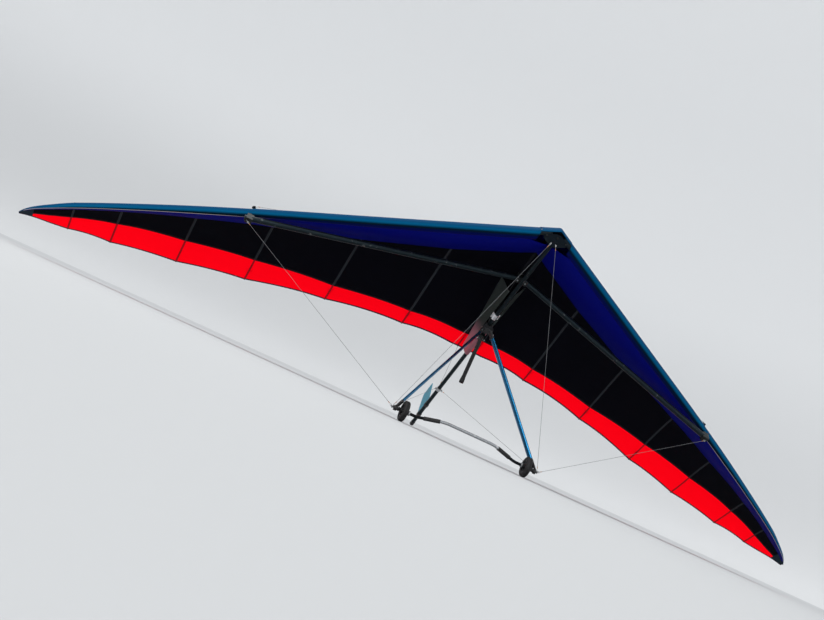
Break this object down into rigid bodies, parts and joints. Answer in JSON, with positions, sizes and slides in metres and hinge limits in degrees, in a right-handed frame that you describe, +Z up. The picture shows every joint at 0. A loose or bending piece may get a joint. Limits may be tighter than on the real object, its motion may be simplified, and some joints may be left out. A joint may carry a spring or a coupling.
{
  "type": "hang glider",
  "caption": "Flex-wing hang glider with kingpost, cable-braced control frame on two wheels, striped sail with a blue undersurface and red trailing edge, and a small keel fin.",
  "frame": {"origin": "floor under the middle of the parked glider's bounding box", "axes": "+X across the span to the glider's left wing, +Y to the tail, +Z up; the nose points to -Y and is pitched up as the glider stands on its wheels and the end of its keel"},
  "size_m": [9.49, 2.4012, 2.2803],
  "materials": {
    "airframe_tube": "satin anodised",
    "bright_tube": "polished",
    "steel": "plain",
    "black_plastic": "matte",
    "rubber": "matte",
    "tyre": "matte",
    "leading_edge_cloth": "woven, coated",
    "undersurface_cloth": "woven, coated",
    "crown_cloth": "woven, coated",
    "trailing_cloth": "woven, thin",
    "keel_pocket_cloth": "woven, thin",
    "webbing": "woven tape",
    "fin_skin": "coated cloth"
  },
  "bodies": {
    "glider": {"apex_bracket": "black_plastic", "base_bar": "bright_tube", "corner_bracket_left": "black_plastic", "corner_bracket_right": "black_plastic", "crossbar_centre_bracket": "steel", "crossbar_joint_left": "steel", "crossbar_joint_right": "steel", "crossbar_left": "airframe_tube", "crossbar_right": "airframe_tube", "downtube_left": "bright_tube", "downtube_right": "bright_tube", "grip_left": "rubber", "grip_right": "rubber", "hang_bracket": "steel", "haulback_strap": "webbing", "keel_end_cap": "black_plastic", "keel_pocket": "keel_pocket_cloth", "keel_tube": "airframe_tube", "kingpost": "bright_tube", "kingpost_cap": "black_plastic", "kingpost_shoe": "black_plastic", "leading_edge_tube_left": "airframe_tube", "leading_edge_tube_right": "airframe_tube", "nose_cone": "leading_edge_cloth", "nose_plate_lower": "steel", "nose_plate_upper": "steel", "rear_tang": "steel", "sail_crown_left": "crown_cloth", "sail_crown_right": "crown_cloth", "sail_leading_edge_left": "leading_edge_cloth", "sail_leading_edge_right": "leading_edge_cloth", "sail_trailing_band_left": "trailing_cloth", "sail_trailing_band_right": "trailing_cloth", "sail_undersurface_left": "undersurface_cloth", "sail_undersurface_right": "undersurface_cloth", "stay_lower_front_left": "steel", "stay_lower_front_right": "steel", "stay_lower_rear_left": "steel", "stay_lower_rear_right": "steel", "stay_lower_side_left": "steel", "stay_lower_side_right": "steel", "stay_upper_front": "steel", "stay_upper_rear": "steel", "stay_upper_side_left": "steel", "stay_upper_side_right": "steel", "tail_fin": "fin_skin", "wheel_collar_left": "steel", "wheel_collar_right": "steel"},
    "wheel_left": {"wheel_tyre_left": "tyre", "wheel_hub_left": "black_plastic"},
    "wheel_right": {"wheel_tyre_right": "tyre", "wheel_hub_right": "black_plastic"},
    "hang_strap": {"hang_strap": "webbing"}
  },
  "joints": [
    {"name": "wheel_left_spin", "type": "hinge", "parent": "glider", "child": "wheel_left", "pos_m": [0.648, -1.10059, 0.1], "axis": [1, 0, 0], "continuous": true},
    {"name": "wheel_right_spin", "type": "hinge", "parent": "glider", "child": "wheel_right", "pos_m": [-0.648, -1.10059, 0.1], "axis": [1, 0, 0], "continuous": true},
    {"name": "hang_strap_swing", "type": "hinge", "parent": "glider", "child": "hang_strap", "pos_m": [0, -0.0797, 1.10401], "axis": [1, 0, 0], "range_deg": [-75, 35]}
  ]
}
